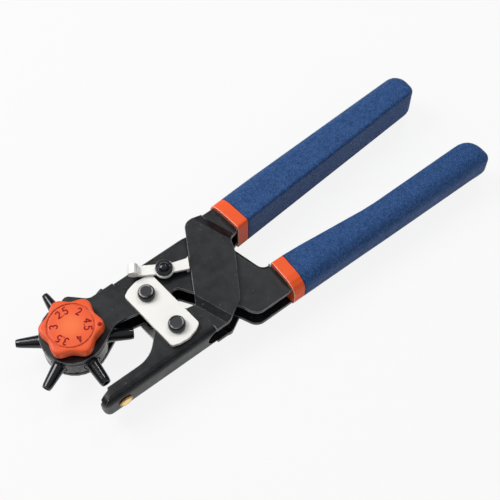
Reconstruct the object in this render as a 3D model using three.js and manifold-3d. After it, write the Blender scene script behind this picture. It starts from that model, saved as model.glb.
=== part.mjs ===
// Rotary hole punch for leather: a revolving turret of six punch tubes on a compound lever pair.
// Two pressed steel frames cross each other like scissors and are joined by a pair of link plates.
// Millimetres. The origin is the middle of the brass anvil's face, +X runs towards the handles,
// +Y from the anvil towards the turret and +Z out of the side that carries the size knob.

import * as THREE from 'three';
import { mergeVertices } from 'three/addons/utils/BufferGeometryUtils.js';
import Module from 'manifold-3d';

const wasm = await Module();
wasm.setup();

// Pressed sheet
const SHEET = 2;
const CHANNEL_HALF = 7.2;
const BEND_RADIUS = 2;
const JAW_BEND = 3.2;
const RUNNING_GAP = 0.3;
const SEAT_GAP = 0.25;
const HOLE_GAP = 0.12;
const SLIVER = 0.01;

// Pivots and turret centre in the plane of the tool
const LOWER_PIVOT = { x: 38.7, y: 4.2 };
const UPPER_PIVOT = { x: 36.8, y: 25 };
const HUB = { x: 0.5, y: 30.8 };

// Lower jaw of the main frame
const JAW_TIP_X = -8.4;
const JAW_TOP_Y = -0.4;
const JAW_HEIGHT = 7.2;
const JAW_TIP_RADIUS = 3.4;
const JAW_TIP_PLAN_RADIUS = 4.8;
const NOSE_X = -2.2;
const NOSE_DROP = 1.2;
const NOSE_FALL = 1.6;
const JAW_WEB_END_X = 47;
const THROAT_X = 20.8;
const THROAT_RADIUS = 15;
const EAR_RADIUS = 10.1;
const EAR_FROM = 30;
const EAR_TO = 149;

// Crossing plates of the main frame
const CROSSING_HEEL = { x: 51.9, y: 8.4 };
const CROSSING_PEAK = { x: 71.8, y: 44.4 };
const CROSSING_PEAK_RADIUS = 5;
const CROSSING_BACK = { x: 82, y: 18.6 };
const CROSSING_FOOT = { x: 68.9, y: -2.6 };
const CROSSING_FOOT_RADIUS = 8;
const CREASE_LEAN = 21;
const LOWER_CREASE = 51.1;
const LOWER_CREASE_WIDTH = 3.5;
const UPPER_CREASE = 87;
const UPPER_CREASE_WIDTH = 4.5;
const NECK_WEB_X = 81.5;

// Turret arm frame
const FORK_RADIUS = 15.3;
const HUMP = { x: 7.4, y: 47.8 };
const ARM_TOP_Y = 40.1;
const ARM_TOP_START_X = 15.4;
const ARM_LOW_Y = 22;
const ARM_LOW_START_X = 18;
const SHOULDER = { x: 77.6, radius: 16 };
const THROAT_BACK_X = 87.4;
const HANDLE_THROAT_RADIUS = 4.2;
const LOBE_RADIUS = 10.1;
const LOBE_FROM = 236;
const LOBE_TO = 324;
const ARM_HEEL = { x: 49.6, y: 21.3 };
const ARM_HEEL_RADIUS = 2.6;
const SHIN = { x: 67.6, y: -4.8, radius: 8 };
const ARM_FOOT = { x: 71.2, radius: 6 };

// Rolling tooth between the two frames, on the line that joins the pivots
const TOOTH_HALF = 2;
const TOOTH_TIP_HALF = 1.1;
const TOOTH_HEIGHT = 2;
const TOOTH_CLEARANCE = 0.5;

// Tangs inside the grips
const TANG_END_X = 178;
const TANG_END_WIDTH = 7;
const MAIN_TANG = { neckLow: 27.4, neckHigh: 44.4, low: 27.8, high: 40.2, endLow: 35 };
const ARM_TANG = { neckLow: -12.6, neckHigh: 4.4, low: -9.2, high: 0.2, endLow: -10 };

// Grips
const GRIP_HALF = 10;
const COLLAR_LENGTH = 6.2;
const OUTER_ROUND = 7;
const INNER_ROUND = 1.6;
const END_ROUND = 7;
const SLEEVE_STATIONS = 26;
const UPPER_GRIP = {
  frontHigh: 88, frontLow: 90.2, high: 45.6, low: 26.3, end: 210.3, endHigh: 51.6, endLow: 36,
};
const UPPER_SWELL = { x: 113, y: 47.5, radius: 60 };
const UPPER_END = { highRadius: 6.5, lowRadius: 5, lean: 1.6 };
const LOWER_GRIP = {
  frontHigh: 91.2, frontLow: 91.2, high: 3.6, low: -14.1, end: 212.4, endHigh: -1, endLow: -15.4,
};
const LOWER_SWELL = { x: 101, y: 3.4, radius: 14 };
const LOWER_WAIST = { x: 146, radius: 60 };
const LOWER_END = { highRadius: 11, lowRadius: 3, lean: 0 };

// Link plates and pivot rivets
const LINK_WIDTH = 16.2;
const LINK_OVERHANG = 8.2;
const LINK_END_SAGITTA = 2.4;
const LINK_CORNER = 1.6;
const PIVOT_SHANK = 3;
const PIVOT_HEAD = 4.1;
const PIVOT_HEAD_HEIGHT = 3;
const PIVOT_HEAD_EDGE = 0.9;
const SLEEVE_RADIUS = 4.6;

// Turret drum
const DRUM_RADIUS = 15.2;
const DRUM_HALF = 4.7;
const DRUM_EDGE = 0.6;
const BOSS_RADIUS = 6;
const AXLE_RADIUS = 3.5;
const AXLE_HEAD = 6;
const AXLE_HEAD_HEIGHT = 2.6;
const WASHER = 0.8;
const WASHER_RADIUS = 7;
const SEAT_RADIUS = 4.2;
const SEAT_DEPTH = 1.6;
const INDEX_NOTCH = 1;

// Punch tubes
const PUNCH_SIZES = [4, 3.5, 3, 2.5, 2, 4.5];
const ACTIVE_ANGLE = -92;
const PUNCH_REACH = 26.5;
const PUNCH_ROOT_RADIUS = 3.1;
const PUNCH_ROOT_X = 9.6;
const PUNCH_TAPER_X = 16;
const PUNCH_EDGE = 0.25;
const PUNCH_BORE_DEPTH = 11;

// Size knob
const KNOB_RADIUS = 13.3;
const KNOB_LOBE = 1.2;
const KNOB_LOBE_ANGLE = 28;
const KNOB_TOP = 14;
const KNOB_EDGE = 1.2;
const KNOB_DISC_RADIUS = 10.9;
const KNOB_GROOVE_WIDTH = 0.7;
const KNOB_GROOVE_DEPTH = 0.5;

// Anvil, under the place where the closed punch lands
const ANVIL_X = 1.8;
const ANVIL_RADIUS = 4.2;
const ANVIL_SHANK = 2.2;
const ANVIL_HEAD_RADIUS = 3.3;
const ANVIL_HEAD_HEIGHT = 0.7;

// Latch
const LATCH_PIVOT = { x: 50.2, y: 30 };
const LATCH_THICKNESS = 1.3;
const LATCH_HUB_RADIUS = 4.5;
const LATCH_LEFT = { length: 14.2, width: 5, angle: 148 };
const LATCH_RIGHT = { low: -1.7, high: 3.7, point: 4.7, lowAngle: -60, highAngle: 4 };
const LATCH_CLEARANCE = 0.45;
const LATCH_ROLL_RADIUS = 2.45;
const LATCH_SHANK = 2;
const LATCH_RIM = 4.05;
const LATCH_RIM_HEIGHT = 1.1;
const LATCH_DOME = 2.6;
const LATCH_DOME_HEIGHT = 1.8;

// Springs
const OPENING_WIRE = 0.8;
const OPENING_COIL_RADIUS = 6.1;
const OPENING_PITCH = 2.4;
const OPENING_TURNS = 3;
const OPENING_FOOT = 9;
const INDEX_PIN = { x: 30, y: 29.6 };
const INDEX_PIN_RADIUS = 1.5;
const INDEX_PIN_FLARE = 1;
const INDEX_STRIP = 0.7;
const INDEX_STRIP_WIDTH = 1.2;

const rad = THREE.MathUtils.degToRad;
const CHANNEL_IN = CHANNEL_HALF - SHEET;
const INDEX_STRIP_LOW = SEAT_GAP - CHANNEL_IN;
const CROSSING_IN = CHANNEL_HALF + RUNNING_GAP;
const CROSSING_OUT = CROSSING_IN + SHEET;
const JAW_BOTTOM_Y = JAW_TOP_Y - JAW_HEIGHT;
const ARM_WEB_START_X = HUB.x + PUNCH_REACH + 2 * RUNNING_GAP;
const FAR = 300;

// A closed outline from corner points; a third number rounds that corner with an arc.
function outline(corners) {
  const shape = new THREE.Shape();
  const count = corners.length;
  const at = (index) => new THREE.Vector2(...corners[(index + count) % count].slice(0, 2));
  corners.forEach((corner, index) => {
    const here = at(index);
    const before = at(index - 1).sub(here).normalize();
    const after = at(index + 1).sub(here).normalize();
    const radius = corner[2] ?? 0;
    const half = Math.acos(THREE.MathUtils.clamp(before.dot(after), -1, 1)) / 2;
    const reach = radius / Math.tan(half);
    const start = here.clone().addScaledVector(before, reach);
    if (index === 0) shape.moveTo(start.x, start.y);
    else shape.lineTo(start.x, start.y);
    if (radius === 0) return;
    const end = here.clone().addScaledVector(after, reach);
    const middle = before.clone().add(after).normalize().multiplyScalar(radius / Math.sin(half)).add(here);
    const from = Math.atan2(start.y - middle.y, start.x - middle.x);
    const to = Math.atan2(end.y - middle.y, end.x - middle.x);
    shape.absarc(middle.x, middle.y, radius, from, to, Math.sin(to - from) < 0);
  });
  shape.closePath();
  return shape;
}

// Corner points on an arc, from one angle to another in degrees.
function arc(centre, radius, from, to, steps) {
  return Array.from({ length: steps + 1 }, (_, index) => {
    const angle = rad(from + (to - from) * index / steps);
    return [centre.x + radius * Math.cos(angle), centre.y + radius * Math.sin(angle)];
  });
}

// A three.js geometry as a solid that can be joined and cut.
function solid(geometry) {
  const bare = geometry.clone();
  bare.deleteAttribute('normal');
  bare.deleteAttribute('uv');
  const merged = mergeVertices(bare, 1e-4);
  const vertProperties = new Float32Array(merged.attributes.position.array);
  const triVerts = new Uint32Array(merged.index.array);
  return new wasm.Manifold(new wasm.Mesh({ numProp: 3, vertProperties, triVerts }));
}

// A solid as a three.js geometry again, without the slivers that the cuts leave.
function geometryOf(body) {
  const mesh = body.asOriginal().simplify(SLIVER).getMesh();
  const geometry = new THREE.BufferGeometry();
  geometry.setAttribute('position', new THREE.BufferAttribute(new Float32Array(mesh.vertProperties), 3));
  geometry.setIndex(new THREE.BufferAttribute(new Uint32Array(mesh.triVerts), 1));
  geometry.computeVertexNormals();
  return geometry;
}

function join(first, ...others) {
  return others.reduce((sum, other) => sum.add(other), first);
}

// A flat plate of an outline, from one height to another.
function plate(shape, low, high, curveSegments = 6) {
  const settings = { depth: high - low, bevelEnabled: false, curveSegments };
  const geometry = new THREE.ExtrudeGeometry(shape, settings);
  return solid(geometry.translate(0, 0, low));
}

// A slab of an outline on both sides of the middle plane, with rounded edges all round.
function roundedSlab(shape, half, round, curveSegments = 6, bevelSegments = 3) {
  const bevel = { bevelThickness: round, bevelSize: round, bevelOffset: -round, bevelSegments };
  const geometry = new THREE.ExtrudeGeometry(shape, { depth: 2 * (half - round), ...bevel, curveSegments });
  return solid(geometry.translate(0, 0, round - half));
}

function block(x0, y0, z0, x1, y1, z1) {
  const geometry = new THREE.BoxGeometry(x1 - x0, y1 - y0, z1 - z0);
  return solid(geometry.translate((x0 + x1) / 2, (y0 + y1) / 2, (z0 + z1) / 2));
}

// A turned piece round an upright axis: pairs of radius and height.
function turned(centre, profile, sides = 28) {
  const points = profile.map(([radius, height]) => new THREE.Vector2(radius, height));
  const geometry = new THREE.LatheGeometry(points, sides).rotateX(Math.PI / 2);
  return solid(geometry.translate(centre.x, centre.y, 0));
}

function post(centre, radius, low, high, sides = 28) {
  return turned(centre, [[0, low], [radius, low], [radius, high], [0, high]], sides);
}

// What the two corners of the jaw's tip lose, so that it ends round when it is seen from below.
function tipCorners() {
  const radius = JAW_TIP_PLAN_RADIUS;
  const middle = { x: JAW_TIP_X + radius + 2 * SLIVER, z: CHANNEL_HALF - radius - 2 * SLIVER };
  const corner = block(JAW_TIP_X - SHEET, -FAR, middle.z, middle.x, UPPER_PIVOT.y, CHANNEL_HALF + SHEET);
  const round = new THREE.CylinderGeometry(radius, radius, 4 * FAR, 36).translate(middle.x, 0, middle.z);
  const cut = corner.subtract(solid(round));
  return join(cut, cut.mirror([0, 0, 1]));
}

// A pressed channel: two side plates and a web along the edges of the fold line that face
// (sideX, sideY), trimmed to the flat outline.
function channel(foldShape, sideX, sideY, bend) {
  const inside = plate(foldShape, -CHANNEL_IN, CHANNEL_IN).translate([-sideX * SHEET, -sideY * SHEET, 0]);
  const folded = roundedSlab(foldShape, CHANNEL_HALF, bend, 6, 4).subtract(inside);
  const whole = plate(foldShape, -CHANNEL_HALF, CHANNEL_HALF);
  const away = whole.translate([-sideX * bend, -sideY * bend, 0]);
  return join(folded, sideSheets(whole.intersect(away)));
}

// What is left of a slab when the space between the two side plates is taken out.
function sideSheets(body) {
  return body.subtract(block(-FAR, -FAR, -CHANNEL_IN, FAR, FAR, CHANNEL_IN));
}

// Outline of the main frame: lower jaw, ear round the lower pivot, crossing plate and upper tang.
function mainFrameShape() {
  const neckEnd = (y) => frontLine(UPPER_GRIP, y) - SEAT_GAP;
  return outline([
    [JAW_TIP_X, JAW_BOTTOM_Y, JAW_TIP_RADIUS],
    [CROSSING_HEEL.x + 8, JAW_BOTTOM_Y, 4],
    [CROSSING_FOOT.x, CROSSING_FOOT.y, CROSSING_FOOT_RADIUS],
    [CROSSING_BACK.x, CROSSING_BACK.y],
    [UPPER_GRIP.frontLow - 5.6, MAIN_TANG.neckLow - 1.8, 5],
    [neckEnd(MAIN_TANG.neckLow), MAIN_TANG.neckLow],
    [neckEnd(MAIN_TANG.low), MAIN_TANG.low],
    [TANG_END_X, MAIN_TANG.endLow],
    [TANG_END_X, MAIN_TANG.endLow + TANG_END_WIDTH],
    [neckEnd(MAIN_TANG.high), MAIN_TANG.high],
    [neckEnd(MAIN_TANG.neckHigh), MAIN_TANG.neckHigh],
    [CROSSING_PEAK.x, CROSSING_PEAK.y, CROSSING_PEAK_RADIUS],
    [CROSSING_HEEL.x, CROSSING_HEEL.y, 1],
    ...arc(LOWER_PIVOT, EAR_RADIUS, EAR_FROM, EAR_TO, 10),
    [THROAT_X, JAW_TOP_Y, THROAT_RADIUS],
    [NOSE_X, JAW_TOP_Y, 0.5],
    [NOSE_X - 0.6, JAW_TOP_Y - NOSE_DROP, 0.5],
    [JAW_TIP_X, JAW_TOP_Y - NOSE_DROP - NOSE_FALL, 1],
  ]);
}

// One side sheet of the main frame, pressed outwards between its two slanting creases.
function joggledSheet() {
  const lower = LOWER_CREASE + LOWER_CREASE_WIDTH;
  const upper = UPPER_CREASE + UPPER_CREASE_WIDTH;
  const rise = CROSSING_OUT - CHANNEL_HALF;
  const lag = SHEET * Math.tan(Math.atan2(rise, LOWER_CREASE_WIDTH) / 2);
  const profile = outline([
    [-FAR, CHANNEL_IN],
    [LOWER_CREASE + lag, CHANNEL_IN],
    [lower + lag, CROSSING_IN],
    [UPPER_CREASE - lag, CROSSING_IN],
    [upper - lag, CHANNEL_IN],
    [FAR, CHANNEL_IN],
    [FAR, CHANNEL_HALF],
    [upper, CHANNEL_HALF],
    [UPPER_CREASE, CROSSING_OUT],
    [lower, CROSSING_OUT],
    [LOWER_CREASE, CHANNEL_HALF],
    [-FAR, CHANNEL_HALF],
  ]);
  const along = new THREE.Vector3(Math.cos(rad(CREASE_LEAN)), Math.sin(rad(CREASE_LEAN)), 0);
  const up = new THREE.Vector3(0, 0, 1);
  const across = along.clone().cross(up);
  const geometry = new THREE.ExtrudeGeometry(profile, { depth: 2 * FAR, bevelEnabled: false });
  geometry.translate(0, 0, -FAR);
  return solid(geometry.applyMatrix4(new THREE.Matrix4().makeBasis(along, up, across)));
}

// Unit vectors of the line from the lower pivot to the upper one.
function pivotLine() {
  const along = new THREE.Vector2(UPPER_PIVOT.x - LOWER_PIVOT.x, UPPER_PIVOT.y - LOWER_PIVOT.y);
  const distance = along.length();
  along.normalize();
  return { along, side: new THREE.Vector2(-along.y, along.x), distance };
}

// The rolling tooth, which points from the upper pivot at the lower one.
function toothShape(grow) {
  const { along, side } = pivotLine();
  const place = (down, aside) => {
    const reach = LOBE_RADIUS + down;
    return [
      UPPER_PIVOT.x - along.x * reach + side.x * aside,
      UPPER_PIVOT.y - along.y * reach + side.y * aside,
    ];
  };
  return outline([
    place(-2, TOOTH_HALF + grow),
    place(TOOTH_HEIGHT + grow, TOOTH_TIP_HALF + grow),
    place(TOOTH_HEIGHT + grow, -TOOTH_TIP_HALF - grow),
    place(-2, -TOOTH_HALF - grow),
  ]);
}

function mainFrame() {
  const shape = mainFrameShape();
  const tipTop = JAW_TOP_Y - NOSE_DROP - NOSE_FALL;
  const jawFold = outline([
    [JAW_TIP_X, JAW_BOTTOM_Y, JAW_TIP_RADIUS],
    [JAW_WEB_END_X + 20, JAW_BOTTOM_Y],
    [JAW_WEB_END_X + 20, FAR / 4],
    [JAW_TIP_X, FAR / 4],
  ]);
  const neckFold = outline([
    [UPPER_GRIP.frontHigh - 20, MAIN_TANG.neckHigh],
    [UPPER_GRIP.frontHigh + 20, MAIN_TANG.neckHigh],
    [UPPER_GRIP.frontHigh + 20, -FAR / 4],
    [UPPER_GRIP.frontHigh - 20, -FAR / 4],
  ]);
  const jawBend = block(-FAR, -FAR, -FAR, JAW_WEB_END_X + CHANNEL_IN, JAW_BOTTOM_Y + JAW_BEND, FAR);
  const tipBend = block(-FAR, -FAR, -FAR, JAW_TIP_X + JAW_BEND, tipTop - 0.5, FAR);
  const neckBend = block(NECK_WEB_X, MAIN_TANG.neckHigh - 2 * BEND_RADIUS, -FAR, FAR, FAR, FAR);
  const side = joggledSheet().intersect(plate(shape, 0, 20)).subtract(join(jawBend, tipBend, neckBend));
  const folds = join(
    channel(jawFold, -1, -1, JAW_BEND).intersect(join(jawBend, tipBend)),
    channel(neckFold, 0, 1, BEND_RADIUS).intersect(neckBend),
  ).intersect(plate(shape, -20, 20));
  const tooth = plate(toothShape(TOOTH_CLEARANCE), -20, 20);
  const pivotHole = post(LOWER_PIVOT, PIVOT_SHANK + HOLE_GAP, -20, 20);
  const throughWeb = (x, radius) => solid(new THREE.CylinderGeometry(radius, radius, 4 * SHEET, 28)
    .translate(x, JAW_BOTTOM_Y + SHEET / 2, 0));
  const anvilHole = throughWeb(ANVIL_X, ANVIL_SHANK + HOLE_GAP);
  const webEnd = throughWeb(JAW_WEB_END_X + CHANNEL_IN, CHANNEL_IN);
  const cuts = join(tooth, pivotHole, anvilHole, webEnd, tipCorners());
  return join(side, side.mirror([0, 0, 1]), folds).subtract(cuts);
}

// Outline of the turret arm frame: fork, arm, lobe round the upper pivot and lower tang.
function turretArmShape() {
  const neckEnd = (y) => frontLine(LOWER_GRIP, y) - SEAT_GAP;
  const lobe = arc(UPPER_PIVOT, LOBE_RADIUS, LOBE_TO, LOBE_FROM, 8);
  const lobeLeft = lobe[lobe.length - 1][0];
  return outline([
    ...arc(HUB, FORK_RADIUS, 300, 80, 18),
    [HUMP.x, HUMP.y, 3],
    [ARM_TOP_START_X, ARM_TOP_Y, 5],
    [SHOULDER.x, ARM_TOP_Y, SHOULDER.radius],
    [THROAT_BACK_X, ARM_TANG.neckHigh, HANDLE_THROAT_RADIUS],
    [neckEnd(ARM_TANG.neckHigh), ARM_TANG.neckHigh],
    [neckEnd(ARM_TANG.high), ARM_TANG.high],
    [TANG_END_X, ARM_TANG.endLow + TANG_END_WIDTH],
    [TANG_END_X, ARM_TANG.endLow],
    [neckEnd(ARM_TANG.low), ARM_TANG.low],
    [neckEnd(ARM_TANG.neckLow), ARM_TANG.neckLow],
    [ARM_FOOT.x, ARM_TANG.neckLow, ARM_FOOT.radius],
    [SHIN.x, SHIN.y, SHIN.radius],
    [ARM_HEEL.x, ARM_HEEL.y, ARM_HEEL_RADIUS],
    ...lobe,
    [lobeLeft, ARM_LOW_Y - 1.8, 1.5],
    [ARM_LOW_START_X, ARM_LOW_Y + 0.8, 8],
  ]);
}

function turretArmFrame() {
  const shape = turretArmShape();
  const flat = plate(shape, -CHANNEL_HALF, CHANNEL_HALF);
  const fold = outline([
    [ARM_WEB_START_X - 20, ARM_TOP_Y],
    [SHOULDER.x, ARM_TOP_Y, SHOULDER.radius],
    [THROAT_BACK_X, ARM_TANG.neckHigh, HANDLE_THROAT_RADIUS],
    [LOWER_GRIP.frontHigh + 20, ARM_TANG.neckHigh],
    [LOWER_GRIP.frontHigh + 20, -FAR / 4],
    [ARM_WEB_START_X - 20, -FAR / 4],
  ]);
  const foldEnd = LOWER_GRIP.frontHigh - SEAT_GAP;
  const folded = block(ARM_WEB_START_X, -FAR, -FAR, foldEnd, FAR, FAR);
  const between = block(ARM_WEB_START_X + SHEET / 4, -FAR, -FAR, foldEnd - SHEET / 4, FAR, FAR);
  const bent = channel(fold, 1, 1, BEND_RADIUS).intersect(flat).intersect(folded);
  const frame = join(bent, sideSheets(flat.subtract(between)));
  const tooth = sideSheets(plate(toothShape(0), -CHANNEL_HALF, CHANNEL_HALF));
  const holes = [
    post(HUB, BOSS_RADIUS + HOLE_GAP, 0, 20, 36),
    post(HUB, AXLE_RADIUS + HOLE_GAP, -20, 0),
    post(UPPER_PIVOT, PIVOT_SHANK + HOLE_GAP, -20, 20),
    post(LATCH_PIVOT, LATCH_SHANK + HOLE_GAP, 0, 20, 20),
    indexPinShape(HOLE_GAP),
  ];
  return holes.reduce((body, hole) => body.subtract(hole), join(frame, tooth));
}

// A straight link plate with arched ends and softened corners.
function linkPlate() {
  const { along, distance } = pivotLine();
  const halfLength = distance / 2 + LINK_OVERHANG;
  const halfWidth = LINK_WIDTH / 2;
  const arch = (side) => {
    return [-0.6, 0, 0.6].map((share) => {
      return [-side * share * halfWidth, side * (halfLength - LINK_END_SAGITTA * share * share)];
    });
  };
  const corner = halfLength - LINK_END_SAGITTA;
  const shape = outline([
    [halfWidth, corner, LINK_CORNER],
    ...arch(1).map(([x, y]) => [x, y, 6]),
    [-halfWidth, corner, LINK_CORNER],
    [-halfWidth, -corner, LINK_CORNER],
    ...arch(-1).map(([x, y]) => [x, y, 6]),
    [halfWidth, -corner, LINK_CORNER],
  ]);
  const lean = THREE.MathUtils.radToDeg(Math.atan2(along.y, along.x)) - 90;
  const middle = [(LOWER_PIVOT.x + UPPER_PIVOT.x) / 2, (LOWER_PIVOT.y + UPPER_PIVOT.y) / 2, 0];
  return plate(shape, CROSSING_IN, CROSSING_OUT)
    .rotate([0, 0, lean])
    .translate(middle)
    .subtract(post(LOWER_PIVOT, PIVOT_SHANK + HOLE_GAP, 0, 20))
    .subtract(post(UPPER_PIVOT, PIVOT_SHANK + HOLE_GAP, 0, 20));
}

// A pivot rivet through both link plates, with a stepped and rounded head at each end.
function pivotRivet(centre) {
  const seat = CROSSING_OUT + SEAT_GAP;
  const head = [
    [PIVOT_SHANK, seat],
    [PIVOT_HEAD, seat],
    [PIVOT_HEAD, seat + PIVOT_HEAD_HEIGHT * 0.45],
    [PIVOT_HEAD - PIVOT_HEAD_EDGE * 0.4, seat + PIVOT_HEAD_HEIGHT - PIVOT_HEAD_EDGE * 0.6],
    [PIVOT_HEAD - PIVOT_HEAD_EDGE, seat + PIVOT_HEAD_HEIGHT],
    [0, seat + PIVOT_HEAD_HEIGHT],
  ];
  const back = head.map(([radius, height]) => [radius, -height]).reverse();
  return turned(centre, [...back, ...head]);
}

// A spacer tube on a pivot rivet, between the two side plates.
function pivotSleeve(centre) {
  const half = CHANNEL_IN - SEAT_GAP;
  return post(centre, SLEEVE_RADIUS, -half, half)
    .subtract(post(centre, PIVOT_SHANK + HOLE_GAP, -20, 20));
}

// The brass anvil: a pad between the side plates, a shank through the web and a flat head below.
function anvil() {
  const seat = JAW_BOTTOM_Y + SHEET + SEAT_GAP;
  const under = JAW_BOTTOM_Y - SEAT_GAP;
  const profile = [
    [0, under - ANVIL_HEAD_HEIGHT],
    [ANVIL_HEAD_RADIUS - 0.5, under - ANVIL_HEAD_HEIGHT],
    [ANVIL_HEAD_RADIUS, under - 0.3],
    [ANVIL_HEAD_RADIUS, under],
    [ANVIL_SHANK, under],
    [ANVIL_SHANK, seat],
    [ANVIL_RADIUS, seat],
    [ANVIL_RADIUS, -0.4],
    [ANVIL_RADIUS - 0.4, 0],
    [0, 0],
  ].map(([radius, height]) => new THREE.Vector2(radius, height));
  return solid(new THREE.LatheGeometry(profile, 32).translate(ANVIL_X, 0, 0));
}

// The six directions of the punches round the drum, in degrees, the active one first.
function punchAngles() {
  return PUNCH_SIZES.map((_, index) => ACTIVE_ANGLE - index * 360 / PUNCH_SIZES.length);
}

// Turns a solid made along +Y at the origin into a radial one on the drum.
function radial(body, angle) {
  return body.rotate([0, 0, angle - 90]).translate([HUB.x, HUB.y, 0]);
}

function spoke(profile, sides = 20) {
  const points = profile.map(([radius, height]) => new THREE.Vector2(radius, height));
  return solid(new THREE.LatheGeometry(points, sides));
}

// The revolving drum: a turned body with a boss through the front plate, six punch seats
// with screw sockets, and a notch between each two seats for the index spring.
function turretDrum() {
  const bossTop = CHANNEL_HALF + SEAT_GAP + 2.6;
  const body = turned(HUB, [
    [0, -DRUM_HALF],
    [DRUM_RADIUS - DRUM_EDGE, -DRUM_HALF],
    [DRUM_RADIUS, -DRUM_HALF + DRUM_EDGE],
    [DRUM_RADIUS, DRUM_HALF - DRUM_EDGE],
    [DRUM_RADIUS - DRUM_EDGE, DRUM_HALF],
    [BOSS_RADIUS, DRUM_HALF],
    [BOSS_RADIUS, bossTop],
    [0, bossTop],
  ], 48);
  const seat = spoke([
    [0, PUNCH_ROOT_X - SEAT_GAP],
    [PUNCH_ROOT_RADIUS + HOLE_GAP, PUNCH_ROOT_X - SEAT_GAP],
    [PUNCH_ROOT_RADIUS + HOLE_GAP, DRUM_RADIUS - SEAT_DEPTH],
    [SEAT_RADIUS, DRUM_RADIUS - SEAT_DEPTH],
    [SEAT_RADIUS, DRUM_RADIUS + 2],
    [0, DRUM_RADIUS + 2],
  ]);
  const notch = plate(outline([
    [-INDEX_NOTCH, DRUM_RADIUS + 0.2],
    [0, DRUM_RADIUS - INDEX_NOTCH - 0.4, 0.4],
    [INDEX_NOTCH, DRUM_RADIUS + 0.2],
  ]), -20, INDEX_STRIP_LOW + INDEX_STRIP_WIDTH + RUNNING_GAP);
  const step = 360 / PUNCH_SIZES.length;
  const cuts = punchAngles().flatMap((angle) => [radial(seat, angle), radial(notch, angle + step / 2)]);
  return cuts.reduce((drum, cut) => drum.subtract(cut), body)
    .subtract(post(HUB, AXLE_RADIUS + HOLE_GAP, -20, 20));
}

// A punch tube: screwed root, wrench collar, taper and a sharp open end.
function punch(size) {
  const tip = size / 2 + PUNCH_EDGE;
  const bore = size / 2 - PUNCH_EDGE;
  const collar = DRUM_RADIUS - SEAT_DEPTH + SEAT_GAP;
  return spoke([
    [0, PUNCH_ROOT_X],
    [PUNCH_ROOT_RADIUS, PUNCH_ROOT_X],
    [PUNCH_ROOT_RADIUS, collar],
    [SEAT_RADIUS - 0.5, collar],
    [SEAT_RADIUS - 0.5, collar + 0.9],
    [PUNCH_ROOT_RADIUS + 0.2, collar + 1.3],
    [PUNCH_ROOT_RADIUS, PUNCH_TAPER_X],
    [tip + 0.35, PUNCH_REACH - 1.6],
    [tip, PUNCH_REACH],
    [bore, PUNCH_REACH],
    [bore, PUNCH_REACH - PUNCH_BORE_DEPTH],
    [0, PUNCH_REACH - PUNCH_BORE_DEPTH - 0.6],
  ]);
}

// The pin of the turret, screwed into the knob, with its head at the back of the fork.
function turretAxle() {
  const seat = -CHANNEL_HALF - WASHER - 2 * SEAT_GAP;
  return turned(HUB, [
    [0, seat - AXLE_HEAD_HEIGHT],
    [AXLE_HEAD - 0.8, seat - AXLE_HEAD_HEIGHT],
    [AXLE_HEAD, seat - AXLE_HEAD_HEIGHT + 0.8],
    [AXLE_HEAD, seat],
    [AXLE_RADIUS, seat],
    [AXLE_RADIUS, KNOB_TOP - 2.2],
    [0, KNOB_TOP - 2.2],
  ], 32);
}

function axleWasher() {
  const top = -CHANNEL_HALF - SEAT_GAP;
  return post(HUB, WASHER_RADIUS, top - WASHER, top, 36)
    .subtract(post(HUB, AXLE_RADIUS + HOLE_GAP, -20, 20));
}

// The size knob: six lobes, a ring groove round the numbered disc, and a socket for the drum's boss.
function sizeKnob() {
  const low = CHANNEL_HALF + SEAT_GAP + RUNNING_GAP;
  const shape = new THREE.Shape(Array.from({ length: 72 }, (_, index) => {
    const angle = rad(index * 5);
    const radius = KNOB_RADIUS + KNOB_LOBE * Math.cos(PUNCH_SIZES.length * (angle - rad(KNOB_LOBE_ANGLE)));
    return new THREE.Vector2(radius * Math.cos(angle), radius * Math.sin(angle));
  }));
  const bevel = { bevelThickness: KNOB_EDGE, bevelSize: KNOB_EDGE, bevelOffset: -KNOB_EDGE };
  const depth = KNOB_TOP - low - 2 * KNOB_EDGE;
  const lobed = solid(new THREE.ExtrudeGeometry(shape, { depth, ...bevel, bevelSegments: 2 })
    .translate(HUB.x, HUB.y, low + KNOB_EDGE));
  const groove = post(HUB, KNOB_DISC_RADIUS, KNOB_TOP - KNOB_GROOVE_DEPTH, 20, 60)
    .subtract(post(HUB, KNOB_DISC_RADIUS - KNOB_GROOVE_WIDTH, 0, 20, 60));
  const boss = post(HUB, BOSS_RADIUS + HOLE_GAP, 0, CHANNEL_HALF + 2 * SEAT_GAP + 2.6, 36);
  const socket = post(HUB, AXLE_RADIUS + HOLE_GAP, 0, KNOB_TOP - 2.2 + SEAT_GAP);
  return lobed.subtract(groove).subtract(boss).subtract(socket);
}

// Outline of a tang inside its grip, grown by the gap round it.
function tangShape(tang, front, grow) {
  return outline([
    [front - 9, tang.low - grow],
    [front, tang.low - grow],
    [TANG_END_X + grow, tang.endLow - grow],
    [TANG_END_X + grow, tang.endLow + TANG_END_WIDTH + grow],
    [front, tang.high + grow],
    [front - 9, tang.high + grow],
  ]);
}

// The x of a sleeve's front edge at a height y: the edge leans from its high corner to its low one.
function frontLine(sleeve, y) {
  const share = (sleeve.high - y) / (sleeve.high - sleeve.low);
  return sleeve.frontHigh + (sleeve.frontLow - sleeve.frontHigh) * share;
}

// Everything that lies behind a line parallel to a sleeve's front edge.
function behind(sleeve, offset) {
  const low = sleeve.low - GRIP_HALF;
  const high = sleeve.high + GRIP_HALF;
  return plate(outline([
    [frontLine(sleeve, low) + offset, low],
    [sleeve.end + GRIP_HALF, low],
    [sleeve.end + GRIP_HALF, high],
    [frontLine(sleeve, high) + offset, high],
  ]), -FAR, FAR);
}

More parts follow.
